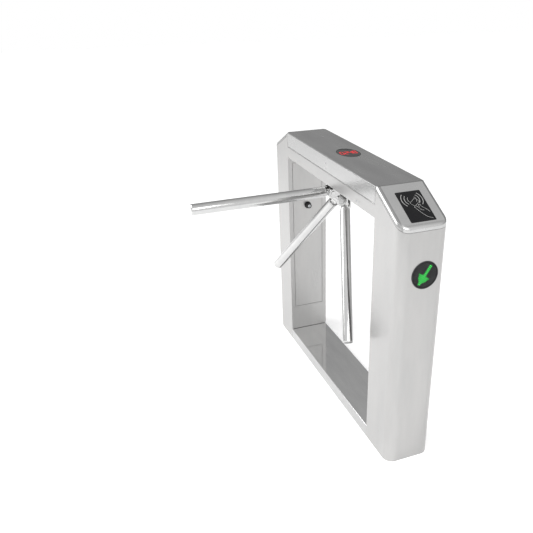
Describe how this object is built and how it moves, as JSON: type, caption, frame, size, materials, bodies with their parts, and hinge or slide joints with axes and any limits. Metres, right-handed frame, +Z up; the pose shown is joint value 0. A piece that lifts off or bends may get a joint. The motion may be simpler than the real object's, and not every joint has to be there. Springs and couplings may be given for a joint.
{
  "type": "tripod turnstile",
  "caption": "Bridge-shaped stainless tripod turnstile with a folding top arm, card readers, direction lights and a lit visitor counter in the lid.",
  "frame": {"origin": "on the floor, in the middle of the cabinet's footprint, on the plinth's underside", "axes": "+X along the cabinet to the entry column, +Y away from the lane that the arms close, +Z up"},
  "size_m": [1.154, 0.6887, 0.9805],
  "materials": {
    "stainless_brushed": "fine satin grain",
    "stainless_polished": "mirror polished stainless",
    "zinc_plated": "bright zinc plate",
    "machined_steel": "turned and ground",
    "cast_aluminium": "fine cast",
    "brass": "machined",
    "black_paint": "satin black",
    "lock_black": "black zinc",
    "black_plastic": "moulded",
    "black_nylon": "moulded nylon",
    "reader_glass": "black back-printed glass",
    "smoked_lens": "smoked lens",
    "counter_window": "smoked acrylic",
    "circuit_board": "solder mask"
  },
  "bodies": {
    "cabinet": {"entry_column_shell": "stainless_brushed", "exit_column_shell": "stainless_brushed", "base_plates": "zinc_plated", "cable_gland": "black_nylon", "plinth_channel": "stainless_brushed", "beam_tray": "stainless_brushed", "entry_slope_cap": "stainless_brushed", "exit_slope_cap": "stainless_brushed", "entry_reader_window": "reader_glass", "exit_reader_window": "reader_glass", "entry_reader_module": "black_plastic", "exit_reader_module": "black_plastic", "entry_indicator_lens": "smoked_lens", "exit_indicator_lens": "smoked_lens", "entry_indicator_board": "circuit_board", "exit_indicator_board": "circuit_board", "door_pivots": "zinc_plated", "lid_hinge_fixed_leaves": "stainless_brushed", "bearing_housing": "cast_aluminium", "spindle_bearings": "machined_steel", "housing_screws": "zinc_plated", "mechanism_plate": "zinc_plated", "drive_motor": "black_paint", "position_sensor": "black_plastic", "left_solenoid": "black_paint", "right_solenoid": "black_paint", "hub_pocket_liner": "stainless_brushed", "control_board": "circuit_board", "power_supply": "cast_aluminium"},
    "lid": {"top_lid": "stainless_brushed", "counter_window": "counter_window", "counter_display": "circuit_board", "lid_hinge_moving_leaves": "stainless_brushed"},
    "entry_door": {"entry_service_door": "stainless_brushed", "entry_door_lock": "lock_black"},
    "exit_door": {"exit_service_door": "stainless_brushed", "exit_door_lock": "lock_black"},
    "entry_cam": {"entry_lock_cam": "zinc_plated"},
    "exit_cam": {"exit_lock_cam": "zinc_plated"},
    "tripod": {"tripod_hub": "stainless_polished", "hub_nose_cap": "stainless_polished", "arm_pivot_pins": "stainless_polished", "near_arm": "stainless_polished", "far_arm": "stainless_polished", "near_arm_knuckle": "stainless_polished", "far_arm_knuckle": "stainless_polished", "near_arm_cap": "stainless_polished", "far_arm_cap": "stainless_polished", "tripod_spindle": "machined_steel", "index_disc": "machined_steel", "drive_gear": "machined_steel", "encoder_disc": "black_plastic"},
    "top_arm": {"raised_arm": "stainless_polished", "raised_arm_knuckle": "stainless_polished", "raised_arm_cap": "stainless_polished"},
    "pinion": {"motor_pinion": "brass"},
    "left_lock": {"left_pawl": "machined_steel"},
    "right_lock": {"right_pawl": "machined_steel"},
    "left_core": {"left_plunger": "machined_steel"},
    "right_core": {"right_plunger": "machined_steel"}
  },
  "joints": [
    {"name": "tripod_turn", "type": "hinge", "parent": "cabinet", "child": "tripod", "pos_m": [0, -0.0085, 0.8465], "axis": [0, -0.7071, -0.7071], "continuous": true},
    {"name": "pinion_turn", "type": "hinge", "parent": "cabinet", "child": "pinion", "pos_m": [0, -0.04103, 0.87903], "axis": [0, -0.7071, -0.7071], "continuous": true},
    {"name": "top_arm_drop", "type": "hinge", "parent": "tripod", "child": "top_arm", "pos_m": [0.00122, -0.06649, 0.84649], "axis": [0.9996, 0.021, -0.021], "range_deg": [0, 90]},
    {"name": "left_pawl_swing", "type": "hinge", "parent": "cabinet", "child": "left_lock", "pos_m": [-0.048, -0.02971, 0.86771], "axis": [0, -0.7071, -0.7071], "range_deg": [0, 10.5]},
    {"name": "left_plunger_slide", "type": "slide", "parent": "cabinet", "child": "left_core", "axis": [1, 0, 0], "range_m": [0, 0.0082]},
    {"name": "right_pawl_swing", "type": "hinge", "parent": "cabinet", "child": "right_lock", "pos_m": [0.048, -0.02971, 0.86771], "axis": [0, 0.7071, 0.7071], "range_deg": [0, 10.5]},
    {"name": "right_plunger_slide", "type": "slide", "parent": "cabinet", "child": "right_core", "axis": [-1, 0, 0], "range_m": [0, 0.0082]},
    {"name": "lid_lift", "type": "hinge", "parent": "cabinet", "child": "lid", "pos_m": [0, 0.0905, 0.9215], "axis": [-1, 0, 0], "range_deg": [0, 95]},
    {"name": "entry_door_swing", "type": "hinge", "parent": "cabinet", "child": "entry_door", "pos_m": [0.41, -0.058, 0.5], "axis": [0, 0, 1], "range_deg": [0, 90]},
    {"name": "exit_door_swing", "type": "hinge", "parent": "cabinet", "child": "exit_door", "pos_m": [-0.41, 0.058, 0.5], "axis": [0, 0, 1], "range_deg": [0, 90]},
    {"name": "entry_lock_turn", "type": "hinge", "parent": "entry_door", "child": "entry_cam", "pos_m": [0.404, 0, 0.659], "axis": [1, 0, 0], "range_deg": [0, 90]},
    {"name": "exit_lock_turn", "type": "hinge", "parent": "exit_door", "child": "exit_cam", "pos_m": [-0.404, 0, 0.659], "axis": [-1, 0, 0], "range_deg": [0, 90]}
  ],
  "couplings": [
    {"joint": "pinion_turn", "follows": "tripod_turn", "ratio": -1.4211},
    {"joint": "left_plunger_slide", "follows": "left_pawl_swing", "m_per_rad": 0.044},
    {"joint": "right_plunger_slide", "follows": "right_pawl_swing", "m_per_rad": 0.044}
  ]
}
